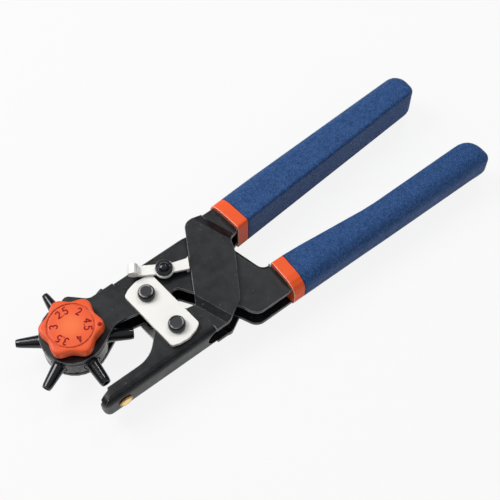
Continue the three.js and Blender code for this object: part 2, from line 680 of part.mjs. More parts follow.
// The lowest and highest y of a closed outline at an x.
function spanAt(points, x) {
  const crossings = points.flatMap((from, index) => {
    const to = points[(index + 1) % points.length];
    if (from.x === to.x || (from.x - x) * (to.x - x) > 0) return [];
    return [from.y + (to.y - from.y) * (x - from.x) / (to.x - from.x)];
  });
  return [Math.min(...crossings), Math.max(...crossings)];
}

// One cross-section of a sleeve: a rectangle with its own corner radius on the high and low side.
function sleeveRing(x, half, [low, high], highRound, lowRound) {
  const limit = Math.min((high - low) * 0.48, half * 0.96);
  const corner = (y, side, radius, from) => {
    const centre = { x: y - side * radius, y: 0 };
    return (face) => arc(centre, radius, from, from + 90, 4).map(([across, up]) => {
      return new THREE.Vector3(x, across, up + face * (half - radius));
    });
  };
  const highRadius = Math.min(highRound, limit);
  const lowRadius = Math.min(lowRound, limit);
  return [
    ...corner(high, 1, highRadius, 0)(1),
    ...corner(low, -1, lowRadius, 90)(1),
    ...corner(low, -1, lowRadius, 180)(-1),
    ...corner(high, 1, highRadius, 270)(-1),
  ];
}

// A closed skin over rings of points with the same count, with a flat end at each side.
function loft(rings) {
  const count = rings[0].length;
  const points = rings.flat();
  const faces = [];
  rings.slice(1).forEach((_, ring) => {
    for (let step = 0; step < count; step += 1) {
      const here = ring * count + step;
      const next = ring * count + (step + 1) % count;
      faces.push(here, next, next + count, here, next + count, here + count);
    }
  });
  const last = (rings.length - 1) * count;
  for (let step = 1; step < count - 1; step += 1) {
    faces.push(0, step + 1, step, last, last + step, last + step + 1);
  }
  const geometry = new THREE.BufferGeometry().setFromPoints(points);
  geometry.setIndex(faces);
  return solid(geometry);
}

// A moulded sleeve over its plan outline: soft on the palm side, crisp on the inner side.
function sleeve(grip, shape, highRound, lowRound, tang) {
  const plan = shape.getPoints(10);
  const start = Math.min(grip.frontHigh, grip.frontLow) - 2 * SHEET;
  const tip = Math.max(...plan.map(({ x }) => x)) - SLIVER;
  const rings = Array.from({ length: SLEEVE_STATIONS + 1 }, (_, index) => {
    const x = start + (tip - start) * (1 - (1 - index / SLEEVE_STATIONS) ** 2.2);
    const nearEnd = Math.max(0, 1 - (tip - x) / END_ROUND);
    const half = GRIP_HALF - END_ROUND * 0.8 * (1 - Math.sqrt(1 - nearEnd ** 2));
    return sleeveRing(x, half, spanAt(plan, x), highRound, lowRound);
  });
  const half = CHANNEL_HALF + SEAT_GAP;
  const hollow = plate(tangShape(tang, grip.frontHigh, SEAT_GAP), -half, half);
  const body = loft(rings).intersect(behind(grip, 0)).subtract(hollow);
  const rear = behind(grip, COLLAR_LENGTH);
  return { collar: body.subtract(rear), grip: body.intersect(rear.translate([SEAT_GAP, 0, 0])) };
}

function upperSleeve() {
  const { frontHigh, high, frontLow, low, end, endHigh, endLow } = UPPER_GRIP;
  const shape = outline([
    [frontHigh - COLLAR_LENGTH, high],
    [frontLow - COLLAR_LENGTH, low],
    [end - UPPER_END.lean, endLow, UPPER_END.lowRadius],
    [end, endHigh, UPPER_END.highRadius],
    [UPPER_SWELL.x, UPPER_SWELL.y, UPPER_SWELL.radius],
  ]);
  return sleeve(UPPER_GRIP, shape, OUTER_ROUND, INNER_ROUND, MAIN_TANG);
}

function lowerSleeve() {
  const { frontHigh, high, frontLow, low, end, endHigh, endLow } = LOWER_GRIP;
  const shape = outline([
    [frontLow - COLLAR_LENGTH, low],
    [end - LOWER_END.lean, endLow, LOWER_END.lowRadius],
    [end, endHigh, LOWER_END.highRadius],
    [LOWER_WAIST.x, endHigh, LOWER_WAIST.radius],
    [LOWER_SWELL.x, LOWER_SWELL.y, LOWER_SWELL.radius],
    [frontHigh - COLLAR_LENGTH, high],
  ]);
  return sleeve(LOWER_GRIP, shape, INNER_ROUND, OUTER_ROUND, ARM_TANG);
}

// The free edge of the crossing plate that the latch bears on.
function crossingEdge() {
  const heel = new THREE.Vector2(CROSSING_HEEL.x, CROSSING_HEEL.y);
  const along = new THREE.Vector2(CROSSING_PEAK.x, CROSSING_PEAK.y).sub(heel).normalize();
  const away = new THREE.Vector2(-along.y, along.x);
  const toPivot = new THREE.Vector2(LATCH_PIVOT.x, LATCH_PIVOT.y).sub(heel);
  const foot = heel.addScaledVector(along, toPivot.dot(along));
  return { along, away, foot };
}

// The latch: a hub with two arms, a rolled thumb tab on one and a lip turned down on the other.
function latchLever() {
  const low = CROSSING_OUT + RUNNING_GAP;
  const top = low + LATCH_THICKNESS;
  const { along, away, foot } = crossingEdge();
  const onEdge = (offset, slide) => [
    foot.x + away.x * offset + along.x * slide,
    foot.y + away.y * offset + along.y * slide,
  ];
  const rim = (angle) => arc(LATCH_PIVOT, LATCH_HUB_RADIUS * 0.98, angle, angle + 1, 1)[0];
  const { low: nearFoot, high, point, lowAngle, highAngle } = LATCH_RIGHT;
  const right = outline([
    [LATCH_PIVOT.x, LATCH_PIVOT.y],
    rim(lowAngle),
    onEdge(LATCH_CLEARANCE, nearFoot),
    onEdge(LATCH_CLEARANCE, point),
    onEdge(LATCH_CLEARANCE + point - high, high),
    rim(highAngle),
  ]);
  const lip = outline([
    onEdge(LATCH_CLEARANCE + LATCH_THICKNESS, nearFoot),
    onEdge(LATCH_CLEARANCE, nearFoot),
    onEdge(LATCH_CLEARANCE, high),
    onEdge(LATCH_CLEARANCE + LATCH_THICKNESS, high),
  ]);
  const parts = [
    plate(right, low, top),
    plate(lip, CROSSING_IN, top),
    latchStrip(low),
  ];
  return join(post(LATCH_PIVOT, LATCH_HUB_RADIUS, low, top), ...parts)
    .subtract(post(LATCH_PIVOT, LATCH_SHANK + HOLE_GAP, 0, 20));
}

// The thumb arm of the latch in one strip: flat from the hub, then rolled back over itself.
function latchStrip(low) {
  const middle = { x: LATCH_LEFT.length, y: LATCH_ROLL_RADIUS };
  const profile = outline([
    [0, 0],
    ...arc(middle, LATCH_ROLL_RADIUS, -90, 190, 14),
    ...arc(middle, LATCH_ROLL_RADIUS - LATCH_THICKNESS, 190, -90, 14),
    [0, LATCH_THICKNESS],
  ]);
  const geometry = new THREE.ExtrudeGeometry(profile, { depth: LATCH_LEFT.width, bevelEnabled: false });
  geometry.translate(0, 0, -LATCH_LEFT.width / 2);
  const angle = rad(LATCH_LEFT.angle);
  const along = new THREE.Vector3(Math.cos(angle), Math.sin(angle), 0);
  const up = new THREE.Vector3(0, 0, 1);
  const matrix = new THREE.Matrix4().makeBasis(along, up, along.clone().cross(up));
  matrix.setPosition(LATCH_PIVOT.x, LATCH_PIVOT.y, low);
  return solid(geometry.applyMatrix4(matrix));
}

// The spacer bush that lifts the latch clear of the link and crossing plates.
function latchWasher() {
  const top = CROSSING_OUT + RUNNING_GAP - SEAT_GAP;
  return post(LATCH_PIVOT, LATCH_HUB_RADIUS - 1, CHANNEL_HALF + SEAT_GAP, top, 24)
    .subtract(post(LATCH_PIVOT, LATCH_SHANK + HOLE_GAP, 0, 20));
}

function latchRivet() {
  const seat = CROSSING_OUT + RUNNING_GAP + LATCH_THICKNESS + SEAT_GAP;
  const dome = [0, 1, 2, 3, 4].map((step) => {
    const angle = rad(90 * step / 4);
    return [LATCH_DOME * Math.cos(angle), seat + LATCH_RIM_HEIGHT + LATCH_DOME_HEIGHT * Math.sin(angle)];
  });
  dome[4][0] = 0;
  return turned(LATCH_PIVOT, [
    [0, CHANNEL_IN - SEAT_GAP - 1.2],
    [LATCH_SHANK + 1, CHANNEL_IN - SEAT_GAP - 1.2],
    [LATCH_SHANK + 1, CHANNEL_IN - SEAT_GAP],
    [LATCH_SHANK, CHANNEL_IN - SEAT_GAP],
    [LATCH_SHANK, seat],
    [LATCH_RIM, seat],
    [LATCH_RIM, seat + LATCH_RIM_HEIGHT * 0.7],
    [LATCH_RIM - 0.3, seat + LATCH_RIM_HEIGHT],
    ...dome,
  ]);
}

// The path of the opening spring: a leg under the lower pivot, three turns round its sleeve and a
// leg up to the sleeve of the upper pivot.
function openingSpringPath() {
  const half = OPENING_PITCH * OPENING_TURNS / 2;
  const perTurn = 12;
  const steps = (OPENING_TURNS + 0.25) * perTurn;
  const low = LOWER_PIVOT.y - OPENING_COIL_RADIUS;
  const points = [1, 2 / 3, 1 / 3].map((share) => {
    return new THREE.Vector3(LOWER_PIVOT.x + OPENING_FOOT * share, low, -half);
  });
  for (let step = 0; step <= steps; step += 1) {
    const angle = rad(270 - step * 360 / perTurn);
    points.push(new THREE.Vector3(
      LOWER_PIVOT.x + OPENING_COIL_RADIUS * Math.cos(angle),
      LOWER_PIVOT.y + OPENING_COIL_RADIUS * Math.sin(angle),
      -half + 2 * half * step / steps,
    ));
  }
  const left = LOWER_PIVOT.x - OPENING_COIL_RADIUS;
  const rise = UPPER_PIVOT.y - SLEEVE_RADIUS - LOWER_PIVOT.y;
  for (const share of [1 / 3, 2 / 3, 1]) {
    points.push(new THREE.Vector3(left, LOWER_PIVOT.y + rise * share, half));
  }
  return new THREE.CatmullRomCurve3(points, false, 'centripetal');
}

// The least gap of a round wire to itself, between points of its path that are a few wires apart.
function leastGap(path, radius) {
  const points = path.getSpacedPoints(240);
  const apart = Math.ceil(6 * radius / (path.getLength() / 240));
  let least = Infinity;
  points.forEach((from, index) => {
    for (const to of points.slice(index + apart)) least = Math.min(least, from.distanceTo(to) - 2 * radius);
  });
  return least;
}

function openingSpring() {
  const extrudePath = openingSpringPath();
  const gap = leastGap(extrudePath, OPENING_WIRE);
  console.log('least gap of the opening spring to itself, mm:', gap.toFixed(2));
  const round = arc({ x: 0, y: 0 }, OPENING_WIRE, 0, 315, 7).map(([x, y]) => new THREE.Vector2(x, y));
  const settings = { steps: 72, extrudePath, bevelEnabled: false };
  return solid(new THREE.ExtrudeGeometry(new THREE.Shape(round), settings));
}

// The index pin, with a flush countersunk head in the back plate of the arm.
function indexPinShape(grow) {
  const neck = -CHANNEL_HALF + INDEX_PIN_FLARE;
  return turned(INDEX_PIN, [
    [0, -CHANNEL_HALF - grow],
    [INDEX_PIN_RADIUS + INDEX_PIN_FLARE + grow, -CHANNEL_HALF - grow],
    [INDEX_PIN_RADIUS + grow, neck],
    [INDEX_PIN_RADIUS + grow, CHANNEL_IN - SEAT_GAP],
    [0, CHANNEL_IN - SEAT_GAP],
  ], 20);
}

// The leaf spring that is looped round the index pin and rests in a notch of the drum.
function indexSpring() {
  const angle = ACTIVE_ANGLE + 90;
  const notch = DRUM_RADIUS - INDEX_NOTCH + 0.35;
  const nose = { x: HUB.x + notch * Math.cos(rad(angle)), y: HUB.y + notch * Math.sin(rad(angle)) };
  const half = INDEX_STRIP / 2;
  const ring = INDEX_PIN_RADIUS + HOLE_GAP + INDEX_STRIP;
  const strip = plate(outline([
    [nose.x, nose.y - half, half * 0.6],
    [INDEX_PIN.x, INDEX_PIN.y - ring],
    [INDEX_PIN.x, INDEX_PIN.y - ring + INDEX_STRIP],
    [nose.x, nose.y + half, half * 0.6],
  ]), INDEX_STRIP_LOW, INDEX_STRIP_LOW + INDEX_STRIP_WIDTH);
  const loop = post(INDEX_PIN, ring, INDEX_STRIP_LOW, INDEX_STRIP_LOW + INDEX_STRIP_WIDTH, 20);
  return join(strip, loop).subtract(post(INDEX_PIN, INDEX_PIN_RADIUS + HOLE_GAP, -20, 20, 20));
}

const finishes = {
  steel: { color: 0x36383c, roughness: 0.42, metalness: 0.7 },
  zinc: { color: 0xe4e4dc, roughness: 0.3, metalness: 0.85 },
  blackened: { color: 0x1e1f23, roughness: 0.3, metalness: 0.75 },
  brass: { color: 0xd9ab52, roughness: 0.3, metalness: 0.95 },
  blue: { color: 0x34548f, roughness: 0.6, metalness: 0 },
  orange: { color: 0xf2622f, roughness: 0.45, metalness: 0 },
  spring: { color: 0x8a8c90, roughness: 0.35, metalness: 0.9 },
};

function piece(name, body, finish) {
  const mesh = new THREE.Mesh(geometryOf(body), new THREE.MeshStandardMaterial(finishes[finish]));
  mesh.name = name;
  return mesh;
}

// The main frame and what is fixed to it.
function mainFrameGroup() {
  const group = new THREE.Group();
  const { collar, grip } = upperSleeve();
  group.add(piece('main_frame', mainFrame(), 'steel'));
  group.add(piece('anvil', anvil(), 'brass'));
  group.add(piece('lower_pivot_rivet', pivotRivet(LOWER_PIVOT), 'blackened'));
  group.add(piece('lower_pivot_sleeve', pivotSleeve(LOWER_PIVOT), 'spring'));
  group.add(piece('opening_spring', openingSpring(), 'spring'));
  group.add(piece('upper_grip_collar', collar, 'orange'));
  group.add(piece('upper_grip', grip, 'blue'));
  return group;
}

// The two link plates.
function linkGroup() {
  const group = new THREE.Group();
  const front = linkPlate();
  group.add(piece('front_link_plate', front, 'zinc'));
  group.add(piece('back_link_plate', front.mirror([0, 0, 1]), 'zinc'));
  return group;
}

// The turret arm frame and what is fixed to it.
function armGroup() {
  const group = new THREE.Group();
  const { collar, grip } = lowerSleeve();
  group.add(piece('turret_arm_frame', turretArmFrame(), 'steel'));
  group.add(piece('upper_pivot_rivet', pivotRivet(UPPER_PIVOT), 'blackened'));
  group.add(piece('upper_pivot_sleeve', pivotSleeve(UPPER_PIVOT), 'spring'));
  group.add(piece('axle_washer', axleWasher(), 'spring'));
  group.add(piece('index_pin', indexPinShape(0), 'blackened'));
  group.add(piece('index_spring', indexSpring(), 'spring'));
  group.add(piece('latch_rivet', latchRivet(), 'blackened'));
  group.add(piece('latch_washer', latchWasher(), 'spring'));
  group.add(piece('lower_grip_collar', collar, 'orange'));
  group.add(piece('lower_grip', grip, 'blue'));
  return group;
}

// The turret: drum, punches, knob and the axle that ties them.
function turretGroup() {
  const group = new THREE.Group();
  group.add(piece('turret_drum', turretDrum(), 'steel'));
  group.add(piece('turret_axle', turretAxle(), 'blackened'));
  group.add(piece('size_knob', sizeKnob(), 'orange'));
  punchAngles().forEach((angle, index) => {
    const size = PUNCH_SIZES[index];
    const name = `punch_${size.toFixed(1).replace('.', '_')}`;
    group.add(piece(name, radial(punch(size), angle), 'blackened'));
  });
  return group;
}

function latchGroup() {
  const group = new THREE.Group();
  group.add(piece('latch_lever', latchLever(), 'zinc'));
  return group;
}

const tool = new THREE.Group();
tool.name = 'rotary_hole_punch';
tool.add(mainFrameGroup(), linkGroup(), armGroup(), turretGroup(), latchGroup());
tool.position.x = -ANVIL_X;

export default tool;
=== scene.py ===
# %% [markdown]
# # A rotary hole punch, dressed for the camera
# The solids of the punch are finished: pressed steel frames, link plates, a revolving drum with six
# tubes, a dial knob and two sleeved handles. This notebook gives them their surfaces, adds the printed
# figures of the dial and the small trim, and sets up the picture. Each step first says what the thing
# is on the real tool and why it is made this way.

# %% Load the finished solids
import math

import bmesh
import bpy
import numpy as np
from mathutils import Matrix, Vector


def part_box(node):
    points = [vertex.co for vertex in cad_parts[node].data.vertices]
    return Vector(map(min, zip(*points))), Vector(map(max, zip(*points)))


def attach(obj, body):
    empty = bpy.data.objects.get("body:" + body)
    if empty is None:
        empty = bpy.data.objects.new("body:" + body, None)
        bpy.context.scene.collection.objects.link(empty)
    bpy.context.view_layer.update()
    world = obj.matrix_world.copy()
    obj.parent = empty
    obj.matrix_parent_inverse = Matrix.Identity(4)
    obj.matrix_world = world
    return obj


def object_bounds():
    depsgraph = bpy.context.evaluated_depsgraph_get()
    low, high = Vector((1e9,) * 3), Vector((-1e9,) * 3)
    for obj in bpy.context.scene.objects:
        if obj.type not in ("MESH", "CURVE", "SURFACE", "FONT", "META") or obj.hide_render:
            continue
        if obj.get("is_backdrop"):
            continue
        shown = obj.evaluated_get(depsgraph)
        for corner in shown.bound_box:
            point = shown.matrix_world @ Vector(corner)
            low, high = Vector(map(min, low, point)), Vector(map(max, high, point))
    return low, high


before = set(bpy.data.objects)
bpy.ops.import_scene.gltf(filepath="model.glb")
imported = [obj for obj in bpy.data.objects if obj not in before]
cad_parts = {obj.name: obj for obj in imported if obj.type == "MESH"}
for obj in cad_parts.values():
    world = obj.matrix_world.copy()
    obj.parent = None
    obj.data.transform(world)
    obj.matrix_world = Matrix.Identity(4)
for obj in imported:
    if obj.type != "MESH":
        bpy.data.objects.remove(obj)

solid_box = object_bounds()
print("nodes:", len(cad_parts))

# %% [markdown]
# ## Where the camera stands
# The tool lies flat with its knob upwards, and the photograph looks down on it at 62 degrees from the
# jaw side. A camera is three directions and a place: what is right, what is up and what is behind it.
# Two angles give all three, so the matrix is written from them instead of being turned by hand.

# %% Make the camera
MM = 0.001
ROUND = math.radians(37.6)
TILT = math.radians(28.0)
DISTANCE = 0.530
FOCAL_PIXELS = 1128.0
AIM = Vector((88.8, 18.4, 0.0)) * MM

right = Vector((math.cos(ROUND), -math.sin(ROUND), 0.0))
up = Vector((math.cos(TILT) * math.sin(ROUND), math.cos(TILT) * math.cos(ROUND), math.sin(TILT)))
behind = Vector((-math.sin(TILT) * math.sin(ROUND), -math.sin(TILT) * math.cos(ROUND), math.cos(TILT)))
eye = AIM + behind * DISTANCE

camera_data = bpy.data.cameras.new("camera")
camera_data.sensor_width = 36.0
camera_data.lens = 36.0 * FOCAL_PIXELS / 500.0
camera_data.clip_start = 0.01
camera = bpy.data.objects.new("camera", camera_data)
camera.matrix_world = Matrix((
    (right.x, up.x, behind.x, eye.x),
    (right.y, up.y, behind.y, eye.y),
    (right.z, up.z, behind.z, eye.z),
    (0, 0, 0, 1),
))
bpy.context.collection.objects.link(camera)
bpy.context.scene.camera = camera
bpy.context.scene.view_settings.view_transform = "Standard"
print("lens", round(camera_data.lens, 1), "mm, eye at", [round(c, 3) for c in eye])

# %% [markdown]
# ## Shader sums written as sums
# A shader is a chain of small nodes, and a chain is hard to read. The class below wraps the output
# of a node, so that an expression such as `0.2 + 0.5 * grain` places its Math nodes by itself. Every
# other node comes from `node`, which takes the node's type, its settings and its inputs.

# %% A wrapper for node outputs
class Flow:
    """One output of a shader node. Sums and products of flows and numbers place Math nodes."""

    def __init__(self, tree, socket=None):
        self.tree = tree
        self.socket = socket

    def node(self, kind, inputs=None, output=0, stops=None, **settings):
        """Any node: settings are set first, then stops of a ramp, then the inputs by number or name."""
        made = self.tree.nodes.new(kind)
        for name, value in settings.items():
            setattr(made, name, value)
        if stops:
            ramp = made.color_ramp
            while len(ramp.elements) < len(stops):
                ramp.elements.new(0.5)
            for element, (place, colour) in zip(ramp.elements, stops):
                element.position = place
                element.color = (*colour, 1.0)
        for name, value in (inputs or {}).items():
            if isinstance(value, Flow):
                self.tree.links.new(value.socket, made.inputs[name])
            else:
                made.inputs[name].default_value = value
        return Flow(self.tree, made.outputs[output])

    def math(self, operation, *values):
        return self.node("ShaderNodeMath", dict(enumerate(values)), operation=operation)

    def __add__(self, other):
        return self.math("ADD", self, other)

    def __radd__(self, other):
        return self.math("ADD", other, self)

    def __sub__(self, other):
        return self.math("SUBTRACT", self, other)

    def __rsub__(self, other):
        return self.math("SUBTRACT", other, self)

    def __mul__(self, other):
        return self.math("MULTIPLY", self, other)

    def __rmul__(self, other):
        return self.math("MULTIPLY", other, self)

    def larger(self, other):
        return self.math("MAXIMUM", self, other)

    def ease(self, low, high):
        """0 below low, 1 above high, and a smooth step between them."""
        inputs = {0: self, 1: low, 2: high}
        return self.node("ShaderNodeMapRange", inputs, interpolation_type="SMOOTHSTEP")

    def colours(self, first, second):
        """A colour that goes from the first to the second as this flow goes from 0 to 1."""
        parts = {0: self}
        for slot, colour in ((6, first), (7, second)):
            parts[slot] = colour if isinstance(colour, Flow) else (*colour, 1.0)
        return self.node("ShaderNodeMix", parts, output=2, data_type="RGBA")


print("operators:", [name for name in vars(Flow) if name.startswith("__") and name != "__init__"][:8])

# %% [markdown]
# ## Patterns that every finish shares
# Grain, smears and wear are read from Object coordinates, which are metres in the tool's own frame,
# so a pattern keeps its real size. Pressed and cut steel has soft edges: the Bevel node looks at the
# faces near a point and bends the normal over them, and where its normal leaves that of the face, an
# edge is near. That same difference is the mask for bare metal along edges, and on the black frames
# also the mask for a painted highlight along their cut edges.

# %% Shared patterns
def start(name):
    """A new material: its flow, its shader and the place on the surface, in metres."""
    made = bpy.data.materials.new(name)
    made.use_nodes = True
    tree = made.node_tree
    shader = tree.nodes["Principled BSDF"]
    flow = Flow(tree)
    place = flow.node("ShaderNodeTexCoord", output=3)
    return made, shader, flow, place


def grain(place, scale, detail=2.0, roughness=0.5, stretch=None):
    """Noise with about scale bumps per metre, from 0 to 1, stretched along the axes if asked."""
    if stretch:
        place = place.node("ShaderNodeMapping", {0: place, 3: stretch})
    inputs = {"Vector": place, "Scale": scale, "Detail": detail, "Roughness": roughness}
    return place.node("ShaderNodeTexNoise", inputs)


def soft_normal(flow, radius, samples=6):
    """The normal, rounded over edges within the radius in metres."""
    return flow.node("ShaderNodeBevel", {"Radius": radius}, samples=samples)


EDGE_SPREAD = 0.145


def near_edge(flow, rounded, least=0.015):
    """1 on an edge and 0 on a flat: how far the rounded normal has left the face's own.
    Round pieces need a larger least value, because their facets differ a little too."""
    face = flow.node("ShaderNodeNewGeometry", output=3)
    both = {0: rounded, 1: face}
    agreement = flow.node("ShaderNodeVectorMath", both, output=1, operation="DOT_PRODUCT")
    return (1.0 - agreement).ease(least, least + EDGE_SPREAD)


def near(place, centre, inner, outer):
    """1 within inner metres of a point of the tool and 0 beyond outer."""
    both = {0: place, 1: centre}
    away = place.node("ShaderNodeVectorMath", both, output=1, operation="DISTANCE")
    return 1.0 - away.ease(inner, outer)


def connect(flow, shader, **links):
    """Links flows to the shader's sockets; an underscore in a name stands for a space."""
    for name, value in links.items():
        target = shader.inputs[name.replace("_", " ")]
        if isinstance(value, Flow):
            flow.tree.links.new(value.socket, target)
        else:
            target.default_value = value


def bumped(height, rounded, strength, distance):
    """The rounded normal, or the plain one for None, tilted by a height; distance in metres."""
    inputs = {"Strength": strength, "Distance": distance, "Height": height}
    if rounded is not None:
        inputs["Normal"] = rounded
    return height.node("ShaderNodeBump", inputs)


print("patterns: grain, soft_normal, near_edge, near, bumped")

# %% [markdown]
# ## Satin black on pressed steel
# The frames are stamped, folded and stoved in black. Such paint is thin: it has a fine orange peel,
# its gloss varies in soft clouds, hands leave it scuffed, and a few specks of dust sit on it. Along
# the cut edges a narrow grey line is painted: in part steel that shows where the paint is rubbed
# through, in part a painted highlight for the light that the cut edges catch. Folds are rounder than
# cuts, so the light runs over a wide bevel and the grey line follows a narrow one. Colour alone
# would look like plastic, so most of the work is in roughness and bump.

# %% Satin black
FOLD_RADIUS = 0.8 * MM
CUT_RADIUS = 0.5 * MM


def satin_black():
    made, shader, flow, place = start("satin_black")
    rounded = soft_normal(flow, FOLD_RADIUS)
    cut_edge = soft_normal(flow, CUT_RADIUS)
    clouds = grain(place, 60.0, 5.0, 0.65)
    peel = grain(place, 1700.0, 2.0)
    fine = grain(place, 5200.0, 1.0)
    # Painted highlight and wear: the grey line along the cut edges is partly steel rubbed bare and
    # partly painted light that the cut edges catch.
    rub = near_edge(flow, cut_edge) * grain(place, 260.0, 3.0, 0.6).ease(0.26, 0.50)
    specks = grain(place, 1250.0, 0.0).ease(0.83, 0.86)
    scuffs = grain(place, 170.0, 6.0, 0.72).ease(0.30, 0.70)
    worn = 0.35 * clouds + 0.65 * scuffs
    paint = worn.colours((0.0010, 0.0015, 0.0030), (0.0165, 0.0178, 0.0210))
    dusty = (specks * 0.6).colours(paint, (0.26, 0.26, 0.27))
    colour = (rub * 0.85).colours(dusty, (0.66, 0.66, 0.67))
    connect(
        flow, shader,
        Base_Color=colour,
        Roughness=0.25 + 0.08 * clouds + 0.13 * scuffs + 0.06 * peel + 0.06 * rub,
        Metallic=rub * 0.6,
        Normal=bumped(peel * 0.7 + fine * 0.3, rounded, 0.20, 0.05 * MM),
        IOR=1.42,
    )
    return made


# %% [markdown]
# ## Blackened hard steel
# Tubes, drum, rivets and axle are turned and then blackened in oil, darker and glossier than the
# frames. Lathe rings are hard to place on pieces that point six ways, so a fine noise, stretched a
# little, breaks the gloss instead. On the flat heads of the pivots a ring just inside the edge is
# painted lighter as a highlight, and the middle of the top is a little lighter as a painted sheen. The
# oil has burned into the drum in patches. A patch is a change in Metallic alone: a black metal
# mirrors less of the table than black paint does, so the patch looks deeper.

# %% Blackened steel
def blackened(name, radius, shine, head=None, samples=6, blotched=0.0):
    """Oil-blackened steel whose edges are rounded over radius, in metres, and rubbed as bare as shine.
    head is a flat top with a painted highlight ring near its edge and a painted sheen on its middle:
    its middle and its radius, in metres.
    blotched is how much darker the patches are, from 0 for none."""
    made, shader, flow, place = start(name)
    rounded = soft_normal(flow, radius, samples)
    smear = grain(place, 140.0, 3.0)
    fine = grain(place, 3800.0, 2.0, stretch=(1.0, 1.0, 2.4))
    rub = near_edge(flow, rounded, 0.05) * grain(place, 420.0, 2.0, 0.6).ease(0.45, 0.62)
    if head is not None:
        middle, reach = head
        # Painted highlight and painted sheen: a ring near the edge of a flat head and the middle of its
        # top are coloured lighter, and joined to the rubbed edges.
        top_sheen_disc = near(place, middle, 0.58 * reach, 0.66 * reach)
        ring = near(place, middle, 0.76 * reach, 0.84 * reach) - top_sheen_disc
        rub = rub.larger(ring * grain(place, 210.0, 2.0).ease(0.38, 0.56))
        rub = rub.larger(top_sheen_disc * 0.16)
    patches = grain(place, 330.0, 4.0, 0.65).ease(0.34, 0.56) * (blotched * (1.0 - rub))
    black = smear.colours((0.0075, 0.0085, 0.011), (0.016, 0.017, 0.020))
    colour = (rub * shine).colours(black, (0.40, 0.40, 0.41))
    connect(
        flow, shader,
        Base_Color=colour,
        Roughness=0.10 + 0.06 * smear + 0.03 * fine + 0.18 * rub,
        Metallic=0.25 + 0.55 * rub + patches,
        Normal=bumped(fine, rounded, 0.02, 0.02 * MM),
        IOR=1.6,
    )
    return made


# %% [markdown]
# ## Bright zinc
# Link plates and latch are blanked from sheet and plated. Zinc is nearly white with a warm cast and a
# few dull stains, and carries the direction in which the sheet was rolled, as hairlines much longer
# than they are wide. A noise that is stretched along the tool gives those, in both the roughness and
# the bump. Only a third of it is metal: the plating is a crust of crystals that scatters the light.

# %% Bright zinc
def bright_zinc():
    made, shader, flow, place = start("bright_zinc")
    rounded = soft_normal(flow, 0.3 * MM)
    hairlines = grain(place, 900.0, 3.0, 0.6, stretch=(0.16, 3.2, 3.2))
    clouds = grain(place, 110.0, 3.0)
    stains = grain(place, 260.0, 4.0, 0.65).ease(0.60, 0.74)
    plating = clouds.colours((0.86, 0.855, 0.82), (0.92, 0.915, 0.875))
    connect(
        flow, shader,
        Base_Color=(stains * 0.35).colours(plating, (0.70, 0.67, 0.57)),
        Roughness=0.30 + 0.12 * hairlines + 0.08 * clouds,
        Metallic=0.30 - 0.10 * stains,
        Normal=bumped(hairlines, rounded, 0.10, 0.02 * MM),
    )
    return made


# %% [markdown]
# ## Drawn spring steel and turned brass
# Sleeves, springs and washers are plain bright steel that shows only in the gaps. The anvil is brass
# with a facing mark: fine rings round its axis, made by a wave texture on the distance from it. The
# face that looks out of the jaw has a painted highlight in its middle and painted shade towards its
# rim, mottled by tarnish.

# %% Spring steel and brass
def spring_steel():
    made, shader, flow, place = start("spring_steel")
    rounded = soft_normal(flow, 0.2 * MM)
    drawn = grain(place, 1600.0, 2.0, stretch=(1.0, 1.0, 0.3))
    stain = grain(place, 300.0, 3.0)
    connect(
        flow, shader,
        Base_Color=stain.colours((0.30, 0.30, 0.315), (0.50, 0.50, 0.51)),
        Roughness=0.26 + 0.18 * drawn,
        Metallic=0.88 + 0.08 * stain,
        Normal=bumped(drawn, rounded, 0.15, 0.02 * MM),
    )
    return made


def turned_brass(middle, reach):
    """Brass with a painted highlight in the middle of its face and painted shade towards the rim,
    mottled by tarnish; middle and reach of the face in metres.
    """
    made, shader, flow, place = start("turned_brass")
    rounded = soft_normal(flow, 0.25 * MM)
    turning = {"Vector": place, "Scale": 1500.0, "Distortion": 0.6}
    rings = flow.node("ShaderNodeTexWave", turning, wave_type="RINGS", rings_direction="Y")
    tarnish = grain(place, 420.0, 4.0, 0.6)
    # Painted shade: darker towards the rim of the face and mottled by tarnish, so the bright middle
    # stands as a painted highlight.
    shade_and_tarnish = (1.0 - near(place, middle, 0.35 * reach, 1.05 * reach)) * (0.35 + 0.9 * tarnish)
    connect(
        flow, shader,
        Base_Color=shade_and_tarnish.ease(0.10, 0.75).colours((0.98, 0.74, 0.32), (0.50, 0.27, 0.07)),
        Roughness=0.22 + 0.12 * rings + 0.14 * tarnish,
        Metallic=0.92 - 0.10 * tarnish,
        Normal=bumped(rings, rounded, 0.14, 0.02 * MM),
    )
    return made


# %% [markdown]
# ## Dipped and moulded plastics
# The blue sleeves have a sparkling grain: tiny raised beads over a deep blue. A cell texture gives the
# beads and a noise varies how high each stands; glints on their tops are painted into the colour as a
# lighter blue, a painted highlight. The orange rings and the knob are smoother: only a matt skin. A
# painted highlight runs along the front lip of each ring, and the middle of the knob is painted lighter
# as a highlight.

# %% Plastics
COLLAR_LEAN = 0.115


